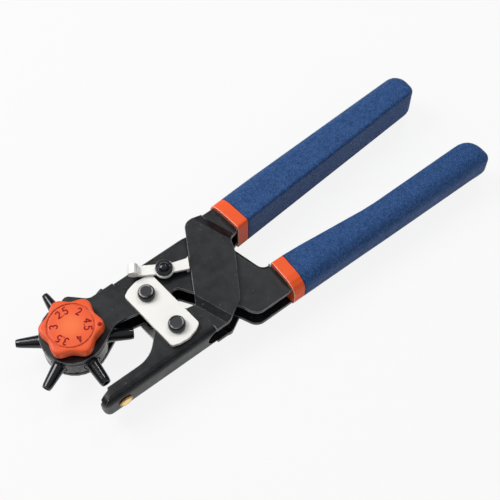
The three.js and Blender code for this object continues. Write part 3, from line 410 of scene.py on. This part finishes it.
def grained_blue():
    made, shader, flow, place = start("grained_blue")
    rounded = soft_normal(flow, 2.2 * MM)
    cells = {"Vector": place, "Scale": 1900.0, "Randomness": 1.0}
    beads = flow.node("ShaderNodeTexVoronoi", cells, feature="SMOOTH_F1")
    tops = 1.0 - beads.ease(0.10, 0.62)
    height = tops * (0.4 + 0.9 * grain(place, 1300.0, 1.0))
    clouds = grain(place, 45.0, 3.0)
    mottle = grain(place, 560.0, 3.0, 0.6).ease(0.25, 0.75)
    blue = mottle.colours((0.0140, 0.049, 0.154), (0.0300, 0.087, 0.250))
    # Painted glints: a lighter blue on the tops of the beads where a noise is high.
    glints = (tops * grain(place, 2100.0, 1.0).ease(0.44, 0.72)) * 0.62
    rub = near_edge(flow, rounded) * grain(place, 160.0, 3.0).ease(0.45, 0.7)
    blue_with_painted_glints = glints.colours(blue, (0.15, 0.27, 0.47))
    connect(
        flow, shader,
        Base_Color=(rub * 0.18).colours(blue_with_painted_glints, (0.12, 0.22, 0.42)),
        Roughness=0.52 + 0.14 * clouds - 0.10 * tops,
        Normal=bumped(height, rounded, 0.75, 0.14 * MM),
        Specular_IOR_Level=0.12,
    )
    return made


def moulded_orange(name, light, deep, roughness, radius, gloss, front=None, highlight_middle=None):
    """A matt orange. front is the x at which the painted highlight on a collar's lip ends, in metres,
    on a plane that leans with the collar; highlight_middle is the middle of a face that is painted
    lighter there as a highlight."""
    made, shader, flow, place = start(name)
    rounded = soft_normal(flow, radius)
    skin = grain(place, 2600.0, 2.0)
    clouds = grain(place, 90.0, 3.0)
    rub = near_edge(flow, rounded) * grain(place, 300.0, 3.0).ease(0.36, 0.62)
    colour = (rub * 0.2).colours(clouds.colours(deep, light), (1.0, 0.62, 0.42))
    if front is not None:
        # Painted highlight: a pale line along the edges of a collar's front lip, ahead of front.
        along = place.node("ShaderNodeSeparateXYZ", {0: place}, output=0)
        across = place.node("ShaderNodeSeparateXYZ", {0: place}, output=1)
        ahead = 1.0 - (along + COLLAR_LEAN * across).ease(front, front + 0.8 * MM)
        lip_highlight = near_edge(flow, soft_normal(flow, 0.9 * MM)) * ahead
        colour = (lip_highlight * 0.9).colours(colour, (1.0, 0.80, 0.70))
    if highlight_middle is not None:
        # Painted highlight: the middle of the knob's face is coloured lighter, and this fades out by 9
        # mm.
        painted_highlight = near(place, highlight_middle, 1.0 * MM, 9.0 * MM) * 0.5
        colour = painted_highlight.colours(colour, (1.0, 0.25, 0.07))
    connect(
        flow, shader,
        Base_Color=colour,
        Roughness=roughness + 0.10 * clouds + 0.05 * skin,
        Normal=bumped(skin, rounded, 0.18, 0.05 * MM),
        Specular_IOR_Level=gloss,
    )
    return made


# %% [markdown]
# ## Dressing the solids
# The solids keep their shape. A finish is put on each of them by name, through its material slots.
# A mark that belongs to one place, such as the painted highlight ring on a rivet's head, is measured
# from the box of its piece. The two pivots therefore have a finish each, and so have the collars and
# the knob.

# %% Put the finishes on
HUB = np.array([-1.3, 30.8]) * MM  # the turret's axis, seen from above
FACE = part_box("size_knob")[1][2]  # the height of the knob's upper face
KNOB_MIDDLE = (*HUB, FACE)
COLLAR_LIP = 92.2 * MM
ANVIL_HEAD = 3.3 * MM  # the radius of its outer face


def top_of(name):
    """The middle of a rivet's top face and the radius of its head, in metres, from its box."""
    low, high = (np.array(corner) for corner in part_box(name))
    middle = (low + high) / 2
    return (middle[0], middle[1], high[2]), (high[0] - low[0]) / 2


def outer_face_of(name):
    """The middle of the face that looks out of the jaw, along -y, in metres."""
    low, high = (np.array(corner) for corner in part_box(name))
    middle = (low + high) / 2
    return (middle[0], low[1], middle[2])


PIN_RADIUS = 0.35 * MM
finishes = {
    "satin_black": satin_black(),
    "blackened": blackened("blackened_tube", 0.6 * MM, 0.35, samples=14),
    "blackened_pin": blackened("blackened_pin", PIN_RADIUS, 0.8),
    "blackened_drum": blackened("blackened_drum", PIN_RADIUS, 1.0, blotched=0.72),
    "upper_head": blackened("upper_head", PIN_RADIUS, 0.8, top_of("upper_pivot_rivet")),
    "lower_head": blackened("lower_head", PIN_RADIUS, 0.8, top_of("lower_pivot_rivet")),
    "zinc": bright_zinc(),
    "spring": spring_steel(),
    "brass": turned_brass(outer_face_of("anvil"), ANVIL_HEAD),
    "blue": grained_blue(),
    "orange": moulded_orange(
        "collar_orange", (0.90, 0.112, 0.022), (0.85, 0.092, 0.018),
        roughness=0.42, radius=0.35 * MM, gloss=0.25, front=COLLAR_LIP),
    "knob": moulded_orange(
        "knob_orange", (0.87, 0.112, 0.024), (0.83, 0.092, 0.018),
        roughness=0.30, radius=0.9 * MM, gloss=0.35, highlight_middle=KNOB_MIDDLE),
}
worn_by = {
    "satin_black": ["main_frame", "turret_arm_frame"],
    "upper_head": ["upper_pivot_rivet"],
    "lower_head": ["lower_pivot_rivet"],
    "blackened_pin": ["latch_rivet", "index_pin", "turret_axle"],
    "blackened_drum": ["turret_drum"],
    "zinc": ["front_link_plate", "back_link_plate", "latch_lever"],
    "spring": ["lower_pivot_sleeve", "upper_pivot_sleeve", "opening_spring", "index_spring",
               "axle_washer", "latch_washer"],
    "brass": ["anvil"],
    "blue": ["upper_grip", "lower_grip"],
    "orange": ["upper_grip_collar", "lower_grip_collar"],
    "knob": ["size_knob"],
}
worn_by["blackened"] = [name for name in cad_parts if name.startswith("punch_")]

for finish, names in worn_by.items():
    for name in names:
        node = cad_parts[name]
        node.data.materials.clear()
        node.data.materials.append(finishes[finish])
print({finish: len(names) for finish, names in worn_by.items()})

# %% [markdown]
# ## Grids as meshes
# Everything new here is a grid: rows of points, computed as one array. The helper below joins
# neighbouring points into faces and can close each row into a ring. A ring that has shrunk to a point
# becomes one point. Looping over vertices in Python would be slow and unreadable.

# %% Grid helper
def grid_mesh(name, points, rings=False, smooth=True):
    """Faces between neighbours of an array of points (rows, columns, 3), in metres.
    Where the rows are rings, the last point of each is joined to its first."""
    rows, columns = points.shape[:2]
    index = np.arange(rows * columns).reshape(rows, columns)
    here, down = index[:-1], index[1:]
    if rings:
        sides = (here, np.roll(here, -1, axis=1), np.roll(down, -1, axis=1), down)
    else:
        sides = (here[:, :-1], here[:, 1:], down[:, 1:], down[:, :-1])
    faces = np.stack([side.ravel() for side in sides], axis=1)
    return mesh_object(name, points.reshape(-1, 3), faces, smooth)


def mesh_object(name, points, faces, smooth):
    """An object at the origin from points and faces; doubled points at poles are merged."""
    data = bpy.data.meshes.new(name)
    data.from_pydata(np.asarray(points, float).tolist(), [], np.asarray(faces).tolist())
    data.update()
    made = bpy.data.objects.new(name, data)
    bpy.context.collection.objects.link(made)
    body = bmesh.new()
    body.from_mesh(data)
    bmesh.ops.remove_doubles(body, verts=body.verts, dist=1e-7)
    bmesh.ops.recalc_face_normals(body, faces=body.faces)
    body.to_mesh(data)
    body.free()
    data.polygons.foreach_set("use_smooth", [smooth] * len(data.polygons))
    return made


print("grid helper ready")

# %% [markdown]
# ## The figures on the dial
# Each figure tells the diameter of the tube beside it, in millimetres. They are printed in dark red
# and stand proud by a hair. A figure is a pen stroke, so it is drawn as a path of lines and arcs, and
# a flat oval is carried along that path. Text objects would bring a font's outline and its corners;
# a stroke has round ends, as the moulded figures do.

# %% Strokes of the figures
def bow(x, y, wide, high, first, last, steps=14):
    """Points on an oval arc round (x, y), from the first angle to the last in degrees."""
    turn = np.radians(np.linspace(first, last, steps))
    return np.stack([x + wide * np.cos(turn), y + high * np.sin(turn)], axis=1)


def line(*corners):
    """Points along straight lines through the corners, eight to each line."""
    ends = np.array(corners, float)
    share = np.linspace(0, 1, 8)[:, None]
    return np.concatenate([a + (b - a) * share for a, b in zip(ends[:-1], ends[1:])])


figure_strokes = {
    "2": np.concatenate([
        bow(0.30, 0.70, 0.27, 0.28, 165, -32),
        line((0.50, 0.50), (0.03, 0.0), (0.60, 0.0)),
    ]),
    "3": np.concatenate([
        bow(0.28, 0.75, 0.25, 0.23, 150, -80),
        bow(0.28, 0.26, 0.29, 0.26, 80, -150),
    ]),
    "4": line((0.46, 0.0), (0.46, 1.0), (0.02, 0.30), (0.62, 0.30)),
    "5": np.concatenate([
        line((0.56, 0.98), (0.15, 0.98), (0.09, 0.55)),
        bow(0.28, 0.31, 0.29, 0.30, 115, -150),
    ]),
    ".": line((0.08, 0.0), (0.08, 0.06)),
}
# The room that each figure takes, with the gap after it, as a share of the figures' height.
FIGURE_GAP = 0.2
figure_width = {"2": 0.82, "3": 0.82, "4": 0.84, "5": 0.82, ".": 0.36}
print("figures:", " ".join(figure_strokes))

# %% Carry an oval along a stroke
def stroke(path, wide, high, sides=8):
    """A tube of oval section along a flat path: section = (wide cos t) across and (high sin t) up.
    A ring beyond each end is drawn in to a point, so the ends are closed."""
    keep = np.concatenate([[True], np.linalg.norm(np.diff(path, axis=0), axis=1) > 1e-6])
    path = path[keep]
    along = np.gradient(path, axis=0)
    along /= np.linalg.norm(along, axis=1)[:, None]
    across = np.stack([-along[:, 1], along[:, 0]], axis=1)
    turn = np.linspace(0, 2 * np.pi, sides, endpoint=False)
    beyond = wide * 0.7
    rows = np.concatenate([[path[0] - along[0] * beyond], path, [path[-1] + along[-1] * beyond]])
    across = np.concatenate([across[:1], across, across[-1:]])
    size = np.concatenate([[0.0], np.ones(len(path)), [0.0]])
    flat = rows[:, None, :] + across[:, None, :] * (wide * size[:, None] * np.cos(turn))[:, :, None]
    lift = high * size[:, None] * np.sin(turn)
    return np.concatenate([flat, lift[:, :, None]], axis=2)


# %% [markdown]
# A figure faces outwards: its top points away from the middle of the knob. So the flat figure is
# turned with the direction of its punch tube, and set inside the ring groove of the disc.

# %% Set the figures on the knob
FIGURE_HEIGHT = 3.4 * MM
FIGURE_SLIM = 0.86
FIGURE_RING = 7.6 * MM
STROKE_HALF = 0.34 * MM
STROKE_RISE = 0.10 * MM
ACTIVE = -92.0  # the angle of the tube over the anvil, in degrees
SIZES = ("4", "3.5", "3", "2.5", "2", "4.5")
dial = {text: ACTIVE - 60.0 * place for place, text in enumerate(SIZES)}

ink, ink_shader, ink_flow, ink_place = start("dial_ink")
ink_cover = grain(ink_place, 2600.0, 2.0)
connect(
    ink_flow, ink_shader,
    Base_Color=ink_cover.ease(0.30, 0.72).colours((0.25, 0.005, 0.006), (0.38, 0.010, 0.011)),
    Roughness=0.42 + 0.16 * ink_cover,
    Normal=bumped(ink_cover, None, 0.2, 0.02 * MM),
    Specular_IOR_Level=0.15,
)


def write(text, angle):
    """All strokes of a text, side by side, turned so that its top points outwards at that angle."""
    out = np.array([math.cos(math.radians(angle)), math.sin(math.radians(angle))])
    reading = np.array([out[1], -out[0]])
    spot = HUB + out * FIGURE_RING
    width = sum(figure_width[letter] for letter in text) - FIGURE_GAP
    pen = -width / 2
    grids = []
    for letter in text:
        flat = (figure_strokes[letter] + [pen, -0.5]) * FIGURE_HEIGHT * [FIGURE_SLIM, 1.0]
        tube = stroke(flat, STROKE_HALF, STROKE_RISE)
        turned = spot + tube[:, :, :1] * reading + tube[:, :, 1:2] * out
        grids.append(np.concatenate([turned, FACE + tube[:, :, 2:]], axis=2))
        pen += figure_width[letter]
    return grids


for text, angle in dial.items():
    parts = [
        grid_mesh(f"part_{number}", grid, rings=True)
        for number, grid in enumerate(write(text, angle))
    ]
    with bpy.context.temp_override(active_object=parts[0], selected_editable_objects=parts):
        bpy.ops.object.join()
    figure = parts[0]
    figure.name = "figure_" + text.replace(".", "_")
    figure.data.materials.append(ink)
    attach(figure, "turret")
print("figures set:", ", ".join(dial))

# %% [markdown]
# A small dark dot on the rim of the knob marks the side of the largest tube. It is a flat dome, a
# profile turned about an upright axis: height falls with the square of the distance from its middle.

# %% Index dot
DOT_RING = 12.75 * MM
DOT_AHEAD = 58.0
DOT_RADIUS = 0.95 * MM
DOT_RISE = 0.14 * MM


def dome(centre, radius, height, floor, steps=6, sides=24):
    """z = floor + height (1 - r^2 / radius^2), with an under side that is sunk below the floor."""
    share = np.linspace(0, 1, steps)
    under = -0.6 * height
    reach = np.concatenate([share, [0.98, 0.0]]) * radius
    lift = np.concatenate([height * (1 - share ** 2), [under, under]])
    turn = np.linspace(0, 2 * np.pi, sides, endpoint=False)
    x = centre[0] + reach[:, None] * np.cos(turn)
    y = centre[1] + reach[:, None] * np.sin(turn)
    z = np.broadcast_to((floor + lift)[:, None], x.shape)
    return np.stack([x, y, z], axis=2)


dot_turn = math.radians(ACTIVE + DOT_AHEAD)
dot_centre = HUB + DOT_RING * np.array([math.cos(dot_turn), math.sin(dot_turn)])
dot = grid_mesh("index_dot", dome(dot_centre, DOT_RADIUS, DOT_RISE, FACE), rings=True)
dot.data.materials.append(ink)
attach(dot, "turret")
print("dot at", [round(float(c) * 1000, 1) for c in dot_centre], "mm")

# %% [markdown]
# ## Table, backdrop and light
# The tool lies on a white table. The table's own colour is a plain pale grey; the camera sees it
# lifted to white through Light Path, and so do mirror rays, while the light on the tool stays plain.
# A large soft lamp stands behind and to the left, and a weak one fills in from the front. A third,
# small and to the right, is there for the tubes: its mirror image draws the thin streak on each.
# Black paint is nearly all mirror. The room is therefore dim near its floor for mirror rays alone,
# and the fill lamp is hidden from them, so a fold shows a dark line between table and sky.

# %% Table
TABLE = -12.95 * MM
TABLE_HALF = 2.2
TABLE_GLOW = 0.87
ends = (-TABLE_HALF, TABLE_HALF)


def seen_by(tree, *kinds):
    """1 for rays of these kinds, such as Camera or Glossy, and 0 for all others."""
    path = tree.nodes.new("ShaderNodeLightPath")
    first, *others = [Flow(tree, path.outputs[f"Is {kind} Ray"]) for kind in kinds]
    for other in others:
        first = first.larger(other)
    return first


corners = np.array([[[x, y, TABLE] for x in ends] for y in ends])
table = grid_mesh("table", corners, smooth=False)
cloth, cloth_shader, cloth_flow, cloth_place = start("table_white")
tree = cloth.node_tree
weave = grain(cloth_place, 900.0, 2.0)
connect(
    cloth_flow, cloth_shader,
    Base_Color=weave.colours((0.66, 0.66, 0.66), (0.69, 0.69, 0.69)),
    Roughness=0.85,
)
glow = tree.nodes.new("ShaderNodeEmission")
glow.inputs["Strength"].default_value = 1.0
blend = tree.nodes.new("ShaderNodeMixShader")
lifted = seen_by(tree, "Camera", "Glossy", "Transmission") * TABLE_GLOW
tree.links.new(lifted.socket, blend.inputs[0])
tree.links.new(cloth_shader.outputs[0], blend.inputs[1])
tree.links.new(glow.outputs[0], blend.inputs[2])
tree.links.new(blend.outputs[0], tree.nodes["Material Output"].inputs["Surface"])
table.data.materials.append(cloth)
table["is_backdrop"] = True
print("table at", TABLE * 1000, "mm")

# %% World and lamps
ROOM_LIGHT = 0.32
WHITE_SEEN = 0.98
MIRROR_LOW = 0.03  # what mirror rays find near the floor of the room
MIRROR_HIGH = 0.39  # and overhead
LIT_SPOT = Vector((0.09, 0.02, 0.0))

world = bpy.data.worlds.new("studio")
bpy.context.scene.world = world
world.use_nodes = True
tree = world.node_tree
background = tree.nodes["Background"]
background.inputs["Color"].default_value = (1.0, 1.0, 1.0, 1.0)
towards = Flow(tree).node("ShaderNodeTexCoord")
height = towards.node("ShaderNodeSeparateXYZ", {0: towards}, output=2)
in_mirrors = MIRROR_LOW + (MIRROR_HIGH - MIRROR_LOW) * height.ease(0.32, 0.84)
whiter = seen_by(tree, "Camera", "Transmission") * (WHITE_SEEN - ROOM_LIGHT)
strength = ROOM_LIGHT + whiter + seen_by(tree, "Glossy") * (in_mirrors - ROOM_LIGHT)
tree.links.new(strength.socket, background.inputs["Strength"])


def lamp(name, place, size, power, mirrored=True):
    """A square soft lamp that faces the tool: its place and side in metres, its power in watts.
    One that isn't mirrored lights the tool, but its image shows in nothing."""
    data = bpy.data.lights.new(name, "AREA")
    data.shape = "SQUARE"
    data.size = size
    data.energy = power
    made = bpy.data.objects.new(name, data)
    towards = LIT_SPOT - Vector(place)
    turned = towards.to_track_quat("-Z", "Y").to_matrix().to_4x4()
    made.matrix_world = Matrix.Translation(Vector(place)) @ turned
    made.visible_glossy = mirrored
    bpy.context.collection.objects.link(made)


lamp("key", (-0.26, 0.57, 0.73), size=0.50, power=6.7)
lamp("streak", (0.55, 0.28, 0.75), size=0.16, power=1.4)
lamp("fill", (0.35, -0.65, 0.45), size=0.60, power=0.9, mirrored=False)

# %% [markdown]
# ## Sizes, and the end
# Dressing must not change the size of the tool, so both boxes are written down side by side.

# %% Finish
dressed_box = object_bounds()


def plain(values):
    return [plain(v) for v in values] if hasattr(values, "__len__") else float(values)


{"solids": plain(solid_box), "dressed": plain(dressed_box)}
print("solids", plain(solid_box), "dressed", plain(dressed_box))
